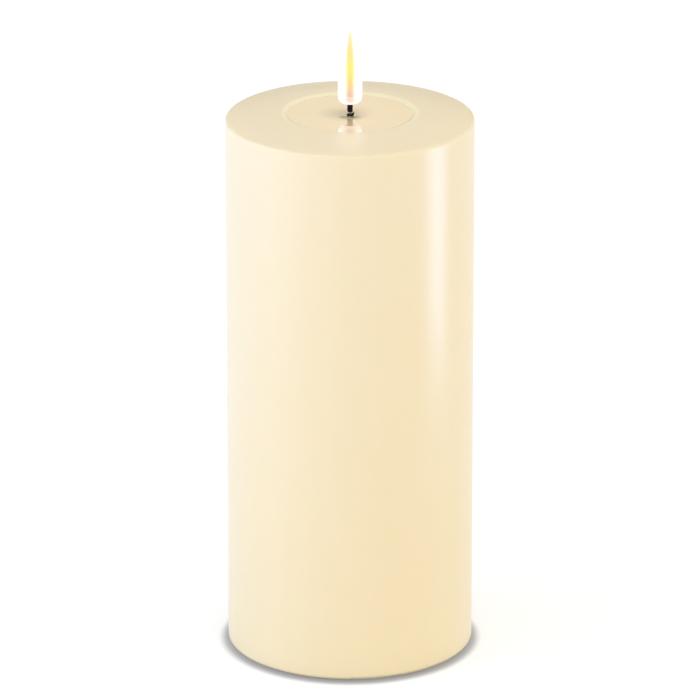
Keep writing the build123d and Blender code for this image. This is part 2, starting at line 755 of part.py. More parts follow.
def switch_lead(start_x):
    """A wire from one of the switch's terminals up and over to the board."""
    end_x, land_y = start_x * switch_lead_spread, board_width / 2 - land_inset
    arch = board_top_z + 8.0
    points = []
    rise = (terminal_top_z + arch) / 2
    route = [(0, switch_y, terminal_top_z), (0, switch_y, terminal_top_z + 5.8),
             (0.1, switch_y + 1.0, rise + 2.6), (0.3, switch_y + 0.6, arch + 0.7),
             (0.65, (switch_y + land_y) / 2, arch + 4.3), (1, land_y, arch), (1, land_y, board_top_z)]
    for share, y, z in route:
        points.append((start_x + share * (end_x - start_x), y, z))
    return lead(points, thin_wire_diameter)


# ================================================================ control board
def board_screw_centres():
    """Where the board is screwed down."""
    return corners(board_length / 2 - board_screw_inset, board_width / 2 - board_screw_inset)


def control_board():
    """The printed circuit board."""
    piece = rounded_block(board_length, board_width, board_corner, board_z, board_top_z)
    for x, y in board_screw_centres():
        piece -= post(pilot_radius + screw_hole_gap, board_z - cut_through, board_top_z + cut_through, x, y)
    return piece


def board_screws():
    """The four screws that hold the board on the battery box."""
    return as_one(screw(x, y, board_top_z, board_screw_length, pilot_radius, screw_head_radius,
                        screw_head_height) for x, y in board_screw_centres())


def plug_places():
    """The header's two pins along X."""
    return (header_x - plug_pitch / 2, header_x + plug_pitch / 2)


def lead_header():
    """The shrouded two-pin header on the board."""
    top, wall = board_top_z + header_height, header_wall
    piece = block(header_length, header_width, board_top_z, top, header_x)
    piece -= block(header_length - 2 * wall, header_width - 2 * wall, board_top_z + wall, top + cut_through,
                   header_x)
    for x in plug_places():
        piece += block(header_pin, header_pin, board_top_z, top - header_pin_drop, x)
    return piece


def lead_plug():
    """The plug on the flame's leads, seated in the header."""
    low, margin, socket = board_top_z + header_wall, 2 * (header_wall + plug_gap), header_pin + 2 * plug_gap
    pin_top = board_top_z + header_height - header_pin_drop
    piece = block(header_length - margin, header_width - margin, low, plug_top_z, header_x)
    for x in plug_places():
        piece -= block(socket, socket, low - cut_through, pin_top + plug_gap, x)
    return piece


def control_chip():
    """The timer and flicker chip with its two rows of legs."""
    x, y = chip_place
    leg_width, leg_span, leg_thickness = chip_leg_size
    low = board_top_z + leg_thickness
    piece = block(chip_size[0], chip_size[1], low, low + chip_size[2], x, y)
    for number in range(chip_leg_count):
        leg_x = x + chip_leg_pitch * (number - (chip_leg_count - 1) / 2)
        piece += block(leg_width, leg_span, board_top_z, board_top_z + leg_thickness, leg_x, y)
    return piece


def crystal():
    """The clock crystal, a small can lying on the board."""
    x, y = crystal_place
    can = rod(crystal_radius, x - crystal_length / 2, x + crystal_length / 2, y, board_top_z + crystal_radius)
    return fillet(can.edges().filter_by(GeomType.CIRCLE), crystal_round)


def storage_capacitor():
    """The upright electrolytic capacitor."""
    can = post(capacitor_radius, board_top_z, board_top_z + capacitor_height, *capacitor_place)
    return fillet(can.edges().group_by(Axis.Z)[-1], capacitor_round)


def chip_resistors():
    """The row of surface-mounted resistors."""
    x, y = resistor_place
    size_x, size_y, thickness = resistor_size
    return as_one(block(size_x, size_y, board_top_z, board_top_z + thickness, x + number * resistor_pitch, y)
                  for number in range(resistor_count))


def drive_transistor():
    """The transistor that drives the LED: two legs on one side and one on the other."""
    x, y = transistor_place
    leg_width, leg_length, leg_thickness = transistor_leg_size
    low, reach = board_top_z + leg_thickness / 2, transistor_leg_pitch
    piece = block(transistor_size[0], transistor_size[1], low, low + transistor_size[2], x, y)
    for leg_x, leg_y in ((x - reach, y - reach), (x + reach, y - reach), (x, y + reach)):
        piece += block(leg_width, leg_length, board_top_z, board_top_z + leg_thickness, leg_x, leg_y)
    return piece


def battery_lead(side):
    """A wire from a terminal's tail over to the board."""
    start_y = side * cell_y
    land_x, land_y = battery_land[0] - board_length / 2, side * battery_land[1]
    points = [(tail_x, start_y, tail_top_z), (tail_x, start_y, tail_top_z + 5.6),
              ((tail_x + land_x) / 2, (start_y + land_y) / 2, tail_top_z + 9.1),
              (land_x, land_y, board_top_z + 5.6), (land_x, land_y, board_top_z)]
    return lead(points, thin_wire_diameter)


# ================================================================ the nodes
def all_nodes():
    """Every node's name and solid."""
    nodes = {
        "wax_shell": wax_shell(),
        "melt_pool": melt_pool(),
        "flame_shell": flame_shell(),
        "flame_core": flame_core(),
        "flame_plug": flame_plug(),
        "led_emitter": led_emitter(),
        "led_legs": led_legs(),
        "wick": wick(),
        "wick_holder": wick_holder(),
        "joint_sleeve_red": joint_sleeve(1),
        "joint_sleeve_black": joint_sleeve(-1),
        "flame_lead_red": flame_lead(1),
        "flame_lead_black": flame_lead(-1),
        "base_plate": base_plate(),
        "battery_box": battery_box(),
        "box_screws": box_screws(),
        "battery_door": battery_door(),
        "cell_rear": cell(1),
        "cell_front": cell(-1),
        "bridge_contact": bridge_contact(),
        "bridge_spring": contact_spring(1, -cell_y),
        "positive_terminal": positive_terminal(),
        "negative_terminal": negative_terminal(),
        "negative_spring": contact_spring(-1, cell_y),
        "switch_shell": switch_shell(),
        "switch_carrier": switch_carrier(),
        "switch_terminals": switch_terminals(),
        "switch_actuator": switch_actuator(),
        "switch_wiper": switch_wiper(),
        "switch_screws": switch_screws(),
        "control_board": control_board(),
        "board_screws": board_screws(),
        "lead_header": lead_header(),
        "lead_plug": lead_plug(),
        "control_chip": control_chip(),
        "crystal": crystal(),
        "storage_capacitor": storage_capacitor(),
        "chip_resistors": chip_resistors(),
        "drive_transistor": drive_transistor(),
        "battery_lead_red": battery_lead(-1),
        "battery_lead_black": battery_lead(1),
    }
    for number, centre in enumerate(pad_centres(), 1):
        nodes[f"foot_pad_{number}"] = foot_pad(centre)
    for name, start_x in zip(("common", "on", "timer"), terminal_places()[1:]):
        nodes[f"switch_lead_{name}"] = switch_lead(start_x)
    return nodes


os.makedirs("parts", exist_ok=True)
for node, shape in all_nodes().items():
    export_step(shape, f"parts/{node}.step")
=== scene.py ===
"""The looks of the flameless pillar candle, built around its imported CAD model.

Metres, +Z up, front towards -Y.
"""
from math import cos, pi, radians, sin

import bpy
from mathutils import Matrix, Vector


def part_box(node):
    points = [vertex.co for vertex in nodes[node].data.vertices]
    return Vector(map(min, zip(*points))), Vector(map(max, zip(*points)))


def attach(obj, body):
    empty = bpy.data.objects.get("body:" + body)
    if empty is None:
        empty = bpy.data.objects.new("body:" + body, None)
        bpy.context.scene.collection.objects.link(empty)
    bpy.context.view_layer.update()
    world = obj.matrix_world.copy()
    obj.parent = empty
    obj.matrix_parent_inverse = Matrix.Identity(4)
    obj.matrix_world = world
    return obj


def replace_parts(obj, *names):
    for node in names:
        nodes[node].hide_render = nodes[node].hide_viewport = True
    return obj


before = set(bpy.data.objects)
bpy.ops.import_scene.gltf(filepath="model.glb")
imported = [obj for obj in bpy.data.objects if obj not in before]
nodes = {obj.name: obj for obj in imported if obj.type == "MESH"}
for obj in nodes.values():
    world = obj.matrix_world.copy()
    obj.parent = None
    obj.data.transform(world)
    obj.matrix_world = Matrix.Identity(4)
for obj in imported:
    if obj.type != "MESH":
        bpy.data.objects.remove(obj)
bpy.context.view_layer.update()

MM = 0.001

# ---------------------------------------------------------------- camera and studio
view_distance = 2.0
view_elevation = 19.75      # degrees above the horizon
view_lens = 338.14          # mm on a 36 mm sensor
aim = Vector((0, 0, 0.09376))
floor_radius = 14.0
painted_shadow_reach = 3.5 * MM     # how far the painted contact shadow on the floor reaches from the candle's foot

# light that comes from each of six directions: axis, sign, colour
SURROUND = (("Z", 1, (1.18, 1.18, 1.18)), ("Z", -1, (0.6, 0.6, 0.6)), ("Y", -1, (1.24, 1.15, 0.92)),
            ("Y", 1, (0.34, 0.34, 0.28)), ("X", -1, (0.64, 0.68, 0.78)), ("X", 1, (1.45, 1.46, 1.46)))
# the pale wall that shows in gloss: its colour, and where it fades in and out (0 is level, 1 overhead)
WALL = (0.92, 0.87, 0.69)
wall_foot = (0.16, 0.27)
wall_head = (0.58, 0.45)

# ---------------------------------------------------------------- colours, linear
WAX = (0.78, 0.667, 0.466)
# the wax's colour at the candle's foot, darkened and warmed by painted shade
WAX_SHADED_FOOT = (0.765, 0.635, 0.405)
# a painted highlight: the lighter band on the wax rim round the pool
LIP_HIGHLIGHT = (0.85, 0.75, 0.51)
POOL = (0.79, 0.60, 0.355)
IVORY_PLASTIC = (0.84, 0.74, 0.55)
WHITE_PLASTIC = (0.86, 0.85, 0.80)
FLAME_WHITE = (0.93, 0.92, 0.95)
# up the flame: dull and rosy at the foot, then orange, yellow and pale
FLAME_GLOW = ((0.02, (0.52, 0.42, 0.38)), (0.10, (0.72, 0.52, 0.39)), (0.18, (0.89, 0.57, 0.32)),
              (0.30, (1.0, 0.67, 0.21)), (0.45, (1.0, 0.80, 0.19)), (0.67, (1.0, 0.73, 0.27)),
              (0.80, (1.0, 0.76, 0.42)), (0.96, (1.0, 1.0, 0.66)))
BLACK = (0.006, 0.004, 0.004)
USUAL_NOISE = (0.3, 0.7)        # most of a noise's values lie between these

# ---------------------------------------------------------------- places on the candle
wax_low, wax_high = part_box("wax_shell")
pool_low, pool_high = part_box("melt_pool")
flame_low, flame_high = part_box("flame_shell")
wick_low, wick_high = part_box("wick")
pool_radius, pool_z = pool_high.x, pool_high.z


# ================================================================ node helpers
class Finish:
    """A material on one Principled shader, built up from patterns in the part's own coordinates."""

    def __init__(self, name, **settings):
        self.material = bpy.data.materials.new(name)
        self.material.use_nodes = True
        self.tree = self.material.node_tree
        self.shader = next(n for n in self.tree.nodes if n.type == "BSDF_PRINCIPLED")
        self.place = self.node("ShaderNodeTexCoord").outputs["Object"]
        for socket, value in settings.items():
            self.set(socket.replace("_", " ").title().replace("Ior", "IOR"), value)

    def node(self, kind, **fields):
        """A new node with its fields set."""
        made = self.tree.nodes.new(kind)
        for field, value in fields.items():
            setattr(made, field, value)
        return made

    def link(self, value, socket):
        """Joins an output to a socket, or sets the socket to a number or a colour."""
        if isinstance(value, bpy.types.NodeSocket):
            self.tree.links.new(value, socket)
        elif isinstance(value, tuple) and len(value) == 3 and socket.type == "RGBA":
            socket.default_value = (*value, 1)
        else:
            socket.default_value = value

    def set(self, socket, value):
        """Sets or links one of the shader's sockets."""
        self.link(value, self.shader.inputs[socket])

    def stretched(self, x=1.0, y=1.0, z=1.0):
        """The part's coordinates, scaled: a pattern is drawn out along the axis that is scaled least."""
        mapping = self.node("ShaderNodeMapping")
        self.link(self.place, mapping.inputs["Vector"])
        mapping.inputs["Scale"].default_value = (x, y, z)
        return mapping.outputs["Vector"]

    def noise(self, size, detail=3.0, rough=0.5, place=None):
        """Cloudy noise, 0 to 1, whose features are about size metres across."""
        made = self.node("ShaderNodeTexNoise")
        self.link(place or self.place, made.inputs["Vector"])
        made.inputs["Scale"].default_value = 1 / size
        made.inputs["Detail"].default_value = detail
        made.inputs["Roughness"].default_value = rough
        return made.outputs["Fac"]

    def spread(self, value, low, high, to_low=0.0, to_high=1.0, smooth=False):
        """A value's range low..high carried over to to_low..to_high and held beyond it."""
        made = self.node("ShaderNodeMapRange", interpolation_type="SMOOTHSTEP" if smooth else "LINEAR")
        self.link(value, made.inputs["Value"])
        numbers = {"From Min": low, "From Max": high, "To Min": to_low, "To Max": to_high}
        for name, number in numbers.items():
            made.inputs[name].default_value = number
        return made.outputs["Result"]

    def vary(self, noise, low=0.0, high=1.0):
        """A noise's usual range carried over to low..high."""
        return self.spread(noise, *USUAL_NOISE, low, high)

    def sum(self, operation, first, second=0.0):
        """One arithmetic step."""
        made = self.node("ShaderNodeMath", operation=operation)
        self.link(first, made.inputs[0])
        self.link(second, made.inputs[1])
        return made.outputs[0]

    def mix(self, share, first, second):
        """A colour between two colours."""
        made = self.node("ShaderNodeMix", data_type="RGBA")
        self.link(share, made.inputs[0])
        self.link(first, made.inputs[6])
        self.link(second, made.inputs[7])
        return made.outputs[2]

    def tones(self, noise, colour, darkest, lightest):
        """A colour that drifts between two tints of itself."""
        return self.mix(self.vary(noise), tinted(colour, darkest), tinted(colour, lightest))

    def steps(self, value, *stops):
        """A colour ramp through (position, colour) stops."""
        made = self.node("ShaderNodeValToRGB")
        self.link(value, made.inputs["Fac"])
        made.color_ramp.interpolation = "EASE"
        elements = made.color_ramp.elements
        while len(elements) < len(stops):
            elements.new(0.5)
        for element, (position, colour) in zip(elements, stops):
            element.position = position
            element.color = (*colour, 1)
        return made.outputs["Color"]

    def axis(self, name):
        """One of the part's coordinates, in metres."""
        made = self.node("ShaderNodeSeparateXYZ")
        self.link(self.place, made.inputs["Vector"])
        return made.outputs[name]

    def radius(self, axis_x=0.0, axis_y=0.0):
        """Distance from an upright axis."""
        across = self.sum("SUBTRACT", self.axis("X"), axis_x)
        along = self.sum("SUBTRACT", self.axis("Y"), axis_y)
        squares = self.sum("ADD", self.sum("MULTIPLY", across, across), self.sum("MULTIPLY", along, along))
        return self.sum("SQRT", squares)

    def bump(self, height, depth, strength):
        """Relief of about depth metres."""
        made = self.node("ShaderNodeBump")
        self.link(height, made.inputs["Height"])
        made.inputs["Distance"].default_value = depth
        made.inputs["Strength"].default_value = strength
        self.set("Normal", made.outputs["Normal"])


def tinted(colour, factor):
    """A colour made lighter or darker."""
    return tuple(min(1.0, channel * factor) for channel in colour)


def between(first, second, share):
    """A colour part of the way from one to another."""
    return tuple(a + (b - a) * share for a, b in zip(first, second))


# ================================================================ materials
def wax_finish():
    """Satin paraffin: faint clouds and upright streaks in the colour, painted shade at the foot and a
    painted highlight round the pool, soft ripples in the relief.
    """
    made = Finish("ivory_wax_look", ior=1.44)
    streak = made.noise(9 * MM, 3, 0.55, made.stretched(1, 1, 0.05))
    cloud = made.noise(28 * MM, 4, 0.6)
    tone = made.sum("ADD", made.sum("MULTIPLY", streak, 0.55), made.sum("MULTIPLY", cloud, 0.45))
    # painted shade: the wax darkens and warms from the top down to the candle's foot
    foot_shade_fade = made.spread(made.axis("Z"), wax_low.z, wax_high.z)
    ground = made.mix(foot_shade_fade, WAX_SHADED_FOOT, WAX)
    body = made.mix(made.vary(tone, 0.0, 0.05), ground, (1.0, 0.95, 0.88))
    # painted highlight: a lighter band on the rim round the pool, where the wax slopes down to it
    lip_from, lip_to = pool_radius + 1.6 * MM, pool_radius + 2.4 * MM
    near_pool = made.spread(made.radius(), lip_from, lip_to, 1, 0, smooth=True)
    on_top = made.spread(made.axis("Z"), pool_z - 1.0 * MM, pool_z - 0.5 * MM)
    lip_highlight = made.sum("MULTIPLY", near_pool, on_top)
    made.set("Base Color", made.mix(lip_highlight, body, LIP_HIGHLIGHT))
    made.set("Subsurface Weight", 0.22)
    made.set("Subsurface Radius", (1.0, 0.62, 0.32))
    made.set("Subsurface Scale", 0.006)
    made.set("Roughness", made.spread(made.noise(40 * MM, 1, 0.4), 0.0, 1.0, 0.27, 0.31))
    made.bump(made.noise(16 * MM, 2, 0.4, made.stretched(1, 1, 0.25)), 0.4 * MM, 0.25)
    return made.material


def pool_finish():
    """Clear resin over wax, mirror smooth, with painted shade darkening it round the wick."""
    made = Finish("melt_pool_look", ior=1.5, coat_weight=1.0, coat_roughness=0.02, coat_ior=2.1)
    cloud = made.noise(11 * MM, 3, 0.5)
    body = made.tones(cloud, POOL, 0.98, 1.02)
    # painted shade: a ragged dark patch round the wick, where the flame shades the pool
    pool_shade_centre_x, pool_shade_reach, ragged = -1.5 * MM, 9.5 * MM, 1.2 * MM
    pool_shade_edge = made.sum("ADD", made.radius(pool_shade_centre_x), made.spread(cloud, 0, 1, -ragged, ragged))
    pool_shade = made.spread(pool_shade_edge, 0.5 * MM, pool_shade_reach, 0.7, 0.0, smooth=True)
    made.set("Base Color", made.mix(pool_shade, body, (0.36, 0.29, 0.18)))
    made.set("Roughness", made.vary(made.noise(3 * MM, 3), 0.02, 0.045))
    made.bump(made.noise(9 * MM, 2, 0.4), 0.05 * MM, 0.10)
    return made.material


def flame_shell_finish():
    """Milky plastic, clear in the middle to show the light guide, and white where it is seen edge on."""
    made = Finish("flame_shell_look", ior=1.46)
    made.material.surface_render_method = "BLENDED"
    limb = made.node("ShaderNodeLayerWeight")
    limb.inputs["Blend"].default_value = 0.5
    made.set("Alpha", made.spread(limb.outputs["Facing"], 0.05, 0.62, 0.01, 0.97))
    height = made.spread(made.axis("Z"), flame_low.z, flame_high.z)
    # painted shade: the shell's colour greys and cools towards its foot
    made.set("Base Color", made.steps(height, (0.0, (0.50, 0.48, 0.53)), (0.12, (0.80, 0.79, 0.82)),
                                      (0.20, FLAME_WHITE), (1.0, FLAME_WHITE)))
    made.set("Emission Color", made.steps(height, (0.0, (0.94, 0.93, 1.0)), (0.10, (0.93, 0.93, 0.92)),
                                          (0.85, (0.93, 0.93, 0.92)), (1.0, (0.93, 0.93, 0.72))))
    made.set("Emission Strength", 0.8)
    made.set("Roughness", made.vary(made.noise(0.8 * MM, 3), 0.30, 0.40))
    made.bump(made.noise(0.5 * MM, 3), 0.01 * MM, 0.3)
    return made.material


def glowing_finish(name, grain, drift, strength=1.0):
    """A lit piece inside the flame, whose colour follows its height in the flame."""
    made = Finish(name, specular_ior_level=0.1)
    height = made.spread(made.axis("Z"), flame_low.z, flame_high.z)
    wander = made.sum("ADD", height, made.spread(made.noise(grain, 2), 0, 1, -drift, drift))
    made.set("Base Color", (0.06, 0.05, 0.02))
    made.set("Emission Color", made.steps(wander, *FLAME_GLOW))
    made.set("Emission Strength", strength)
    made.set("Roughness", made.vary(made.noise(grain / 2, 2), 0.4, 0.6))
    return made.material


def plastic_finish(name, colour, grain=0.35, rough=0.45, relief=0.012):
    """Moulded plastic with a fine spark-eroded grain and a slight drift of colour."""
    made = Finish(name, ior=1.47)
    made.set("Base Color", made.tones(made.noise(16 * MM, 3), colour, 0.96, 1.03))
    speck = made.noise(grain * MM, 4, 0.65)
    made.set("Roughness", made.vary(speck, rough - 0.07, rough + 0.09))
    made.bump(speck, relief * MM, 0.7)
    return made.material


def metal_finish(name, colour, rough, along=(1, 1, 1)):
    """Plated or tinned metal with drawing lines along one axis and a few duller patches."""
    made = Finish(name, metallic=1.0)
    lines = made.noise(0.25 * MM, 4, 0.6, made.stretched(*along))
    patch = made.noise(2.5 * MM, 3)
    made.set("Base Color", made.mix(made.spread(patch, 0.35, 0.75), colour, tinted(colour, 0.82)))
    both = made.sum("ADD", made.sum("MULTIPLY", lines, 0.5), made.sum("MULTIPLY", patch, 0.5))
    made.set("Roughness", made.vary(both, rough - 0.08, rough + 0.14))
    made.bump(lines, 0.006 * MM, 0.6)
    return made.material


def rubber_finish(name, colour, rough=0.7):
    """Matte rubber, dusty and finely pitted."""
    made = Finish(name)
    dust = made.noise(3.5 * MM, 5, 0.65)
    dusty = between(colour, (0.4, 0.38, 0.34), 0.35)
    made.set("Base Color", made.mix(made.spread(dust, 0.45, 0.8, 0, 0.5), colour, dusty))
    made.set("Roughness", made.vary(dust, rough - 0.08, rough + 0.14))
    made.bump(made.noise(0.22 * MM, 3), 0.02 * MM, 0.7)
    return made.material


def insulation_finish(name, colour):
    """Soft PVC with a satin skin."""
    made = Finish(name, ior=1.5)
    made.set("Base Color", made.tones(made.noise(5 * MM, 3), colour, 0.88, 1.08))
    skin = made.noise(0.35 * MM, 3)
    made.set("Roughness", made.vary(skin, 0.30, 0.46))
    made.bump(skin, 0.01 * MM, 0.5)
    return made.material


def wick_finish():
    """Black braid: matte fibres along each strand, with a dull bloom."""
    made = Finish("wick_look", specular_ior_level=0.12)
    fibre = made.noise(0.12 * MM, 4, 0.6, made.stretched(1, 1, 0.35))
    made.set("Base Color", made.mix(made.spread(fibre, 0.4, 0.75), BLACK, (0.018, 0.013, 0.013)))
    made.set("Roughness", made.vary(fibre, 0.42, 0.7))
    made.bump(fibre, 0.03 * MM, 0.8)
    return made.material


def board_finish():
    """Solder mask over copper tracks on a weave of glass fibre."""
    made = Finish("control_board_look", ior=1.52)
    tracks = made.node("ShaderNodeTexBrick", offset=0.37, squash=0.6)
    made.link(made.place, tracks.inputs["Vector"])
    for name, number in (("Scale", 1 / (9 * MM)), ("Mortar Size", 0.045), ("Mortar Smooth", 0.2),
                         ("Brick Width", 0.62), ("Row Height", 0.27)):
        tracks.inputs[name].default_value = number
    mask, copper = (0.012, 0.11, 0.045), (0.035, 0.22, 0.075)
    weave = made.noise(0.5 * MM, 2, 0.5, made.stretched(1, 0.2, 1))
    ground = made.tones(weave, mask, 0.85, 1.15)
    made.set("Base Color", made.mix(tracks.outputs["Fac"], ground, copper))
    made.set("Roughness", made.vary(weave, 0.24, 0.38))
    made.bump(tracks.outputs["Fac"], 0.035 * MM, 0.8)
    return made.material


def laminate_finish():
    """Brown phenolic paper board with faint fibres."""
    made = Finish("laminate_look")
    fibre = made.noise(0.6 * MM, 5, 0.6, made.stretched(0.2, 1, 1))
    made.set("Base Color", made.mix(made.vary(fibre), (0.13, 0.06, 0.022), (0.24, 0.12, 0.05)))
    made.set("Roughness", made.vary(fibre, 0.42, 0.6))
    made.bump(fibre, 0.01 * MM, 0.5)
    return made.material


def sleeve_finish(name, body, band, band_low, band_high):
    """A shrink sleeve: a plain body colour with a metallic band between two places along X."""
    made = Finish(name, ior=1.5)
    along = made.axis("X")
    past_low = made.sum("GREATER_THAN", along, band_low)
    inside = made.sum("MULTIPLY", past_low, made.sum("LESS_THAN", along, band_high))
    ground = made.tones(made.noise(7 * MM, 3), body, 0.9, 1.08)
    made.set("Base Color", made.mix(inside, ground, band))
    made.set("Metallic", made.sum("MULTIPLY", inside, 0.85))
    crinkle = made.noise(1.6 * MM, 4, 0.55, made.stretched(0.35, 1, 1))
    made.set("Roughness", made.vary(crinkle, 0.2, 0.38))
    made.bump(crinkle, 0.02 * MM, 0.5)
    return made.material


def capacitor_finish():
    """A dark sleeve with a pale stripe down one side and a bare aluminium top."""
    low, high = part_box("storage_capacitor")
    top_edge = high.z - 0.35 * MM
    stripe_edge = (low.x + high.x) / 2 + 1.9 * MM
    made = Finish("capacitor_look")
    on_top = made.sum("GREATER_THAN", made.axis("Z"), top_edge)
    stripe = made.sum("GREATER_THAN", made.axis("X"), stripe_edge)
    sleeve = made.mix(stripe, (0.01, 0.014, 0.03), (0.55, 0.56, 0.58))
    made.set("Base Color", made.mix(on_top, sleeve, (0.72, 0.73, 0.74)))
    made.set("Metallic", on_top)
    skin = made.noise(0.7 * MM, 3)
    made.set("Roughness", made.vary(skin, 0.26, 0.42))
    made.bump(skin, 0.01 * MM, 0.5)
    return made.material


def glazed_finish(name, colour):
    """The dark glaze of a small ceramic chip."""
    made = Finish(name, base_color=colour)
    made.set("Roughness", made.vary(made.noise(0.3 * MM, 3), 0.28, 0.45))
    return made.material


finishes = {
    "wax_shell": wax_finish(),
    "melt_pool": pool_finish(),
    "flame_shell": flame_shell_finish(),
    "flame_core": glowing_finish("flame_core_look", 2.5 * MM, 0.03),
    "led_emitter": glowing_finish("led_look", 1.2 * MM, 0.02),
    "flame_plug": glowing_finish("flame_plug_look", 1.5 * MM, 0.02, 1.3),
    "control_board": board_finish(),
    "switch_carrier": laminate_finish(),
    "storage_capacitor": capacitor_finish(),
    "chip_resistors": glazed_finish("chip_resistor_look", (0.02, 0.02, 0.022)),
}
white = plastic_finish("white_plastic_look", WHITE_PLASTIC)
ivory = plastic_finish("ivory_plastic_look", IVORY_PLASTIC, grain=0.45, rough=0.5, relief=0.02)
black = plastic_finish("black_plastic_look", (0.018, 0.018, 0.019), grain=0.3, rough=0.42)
tinned = metal_finish("tinned_look", (0.66, 0.66, 0.64), 0.34, (1, 1, 0.15))
zinc = metal_finish("zinc_look", (0.62, 0.64, 0.67), 0.26)
nickel = metal_finish("nickel_look", (0.70, 0.66, 0.60), 0.22, (0.15, 1, 1))
can = metal_finish("cell_can_look", (0.66, 0.66, 0.66), 0.2, (0.1, 1, 1))
rubber = rubber_finish("pad_rubber_look", (0.035, 0.034, 0.033))
red = insulation_finish("red_insulation_look", (0.42, 0.012, 0.010))
dark = insulation_finish("black_insulation_look", (0.012, 0.012, 0.013))
yellow = insulation_finish("yellow_insulation_look", (0.62, 0.36, 0.015))
blue = insulation_finish("blue_insulation_look", (0.012, 0.06, 0.28))
wick_black = wick_finish()
for material, names in (
        (white, "wick_holder lead_header lead_plug"),
        (ivory, "base_plate battery_box battery_door"),
        (black, "switch_actuator control_chip drive_transistor"),
        (tinned, "led_legs switch_terminals crystal"),
        (zinc, "box_screws board_screws switch_screws"),
        (nickel, "bridge_contact bridge_spring positive_terminal negative_terminal negative_spring "
                 "switch_shell switch_wiper"),
        (can, "cell_rear cell_front"),
        (rubber, "foot_pad_1 foot_pad_2 foot_pad_3 foot_pad_4"),
        (red, "joint_sleeve_red flame_lead_red battery_lead_red switch_lead_common"),
        (dark, "joint_sleeve_black flame_lead_black battery_lead_black"),
        (yellow, "switch_lead_on"),
        (blue, "switch_lead_timer"),
        (wick_black, "wick")):
    finishes.update({name: material for name in names.split()})

for name, piece in nodes.items():
    piece.data.materials.clear()
    piece.data.materials.append(finishes[name])


# ================================================================ mesh helpers
def piece_of(name, points, faces, material, slot, body="candle", crease=35):
    """A smooth-shaded mesh piece that rides on a body."""
    mesh = bpy.data.meshes.new(name)
    mesh.from_pydata([tuple(p) for p in points], [], faces)
    mesh.validate()
    mesh.shade_smooth()
    mesh.set_sharp_from_angle(angle=radians(crease))
    mesh.materials.append(material)
    made = bpy.data.objects.new(name, mesh)
    bpy.context.scene.collection.objects.link(made)
    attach(made, body)
    return made


def turned(profile, around=64):
    """Points and faces of a closed outline of (radius, height) turned about Z."""
    count = len(profile)
    points, faces = [], []
    for step in range(around):
        angle = 2 * pi * step / around
        points += [Vector((r * cos(angle), r * sin(angle), z)) for r, z in profile]
        here, after = step * count, (step + 1) % around * count
        for row in range(count):
            beyond = (row + 1) % count
            faces.append((here + row, after + row, after + beyond, here + beyond))
    return points, faces


# ================================================================ wick
wick_radius = 0.84 * MM
strand_pitch = 5.2 * MM
groove = 0.05 * MM
dimple_depth = 0.45 * MM            # how far the pool sinks at the wick
dimple_reach = 6.5 * MM
braid_foot = pool_z + 0.62 * MM     # the braid's lower end; bare legs show below it
root_top = pool_z - dimple_depth - 0.3 * MM
collar_foot = pool_z - 1.3 * MM
collar_top = pool_z - 0.02 * MM


def wick_braid(low, high, name):
    """A cord of three strands twisted tight, with shallow grooves between them and worn ends."""
    row_height = 0.16 * MM
    worn, regained = 0.80, 1.2 / MM     # share of the radius at the very ends, and how fast it grows back
    around, rows = 48, max(12, int((high - low) / row_height))
    points, faces = [], []
    for row in range(rows + 1):
        z = low + (high - low) * row / rows
        end = min(1.0, worn + regained * min(z - low, high - z))
        for step in range(around):
            angle = 2 * pi * step / around
            strand = abs(cos(1.5 * angle - 3 * pi * z / strand_pitch))
            radius = end * (wick_radius - groove * (1 - strand))
            points.append(Vector((radius * cos(angle), radius * sin(angle), z)))
    for row in range(rows):
        for step in range(around):
            here, beside = row * around + step, row * around + (step + 1) % around
            faces.append((here, beside, beside + around, here + around))
    faces.append(tuple(reversed(range(around))))
    faces.append(tuple(rows * around + step for step in range(around)))
    return piece_of(name, points, faces, wick_black, "wick_black", crease=50)


def wick_collar():
    """The short collar where the wick leaves the pool, drawn up into a tab at one side."""
    outer, inner, edge = 0.95 * MM, 0.62 * MM, 0.08 * MM
    tab_height, tab_reach, tab_from = 0.62 * MM, 0.34 * MM, 0.55
    profile = [(inner, collar_foot), (outer, collar_foot), (outer, collar_top - 0.14 * MM),
               (outer - edge, collar_top), (inner + edge, collar_top), (inner, collar_top - 0.12 * MM)]
    points, faces = turned(profile, 56)
    for point in points:
        if point.z > collar_foot:
            side = max(0.0, (point.x / outer - tab_from) / (1 - tab_from))
            rise = side * side * (3 - 2 * min(side, 1.0))
            point.z += tab_height * rise
            point.x += tab_reach * rise
    return piece_of("wick_collar", points, faces, wick_black, "wick_black", crease=50)


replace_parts(wick_braid(braid_foot, wick_high.z, "wick_braid"), "wick")
wick_braid(wick_low.z, root_top, "wick_root")
wick_collar()


# ================================================================ melt pool
def pool_resin():
    """The resin disc: level, mirror smooth, and sinking gently at the wick."""
    hole, steps = 0.98 * MM, 40
    half_sunk = 0.42 * dimple_reach     # from the hole to where the pool sinks half as far
    profile = [(pool_radius, pool_low.z)]
    for step in range(steps + 1):
        radius = pool_radius - (pool_radius - hole) * (step / steps) ** 0.75
        sink = dimple_depth / (1 + ((radius - hole) / half_sunk) ** 2)
        profile.append((radius, pool_z - sink))
    profile.append((hole, pool_low.z))
    profile.reverse()
    return piece_of("pool_resin", *turned(profile, 160), finishes["melt_pool"], "melt_resin", crease=40)


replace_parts(pool_resin(), "melt_pool")


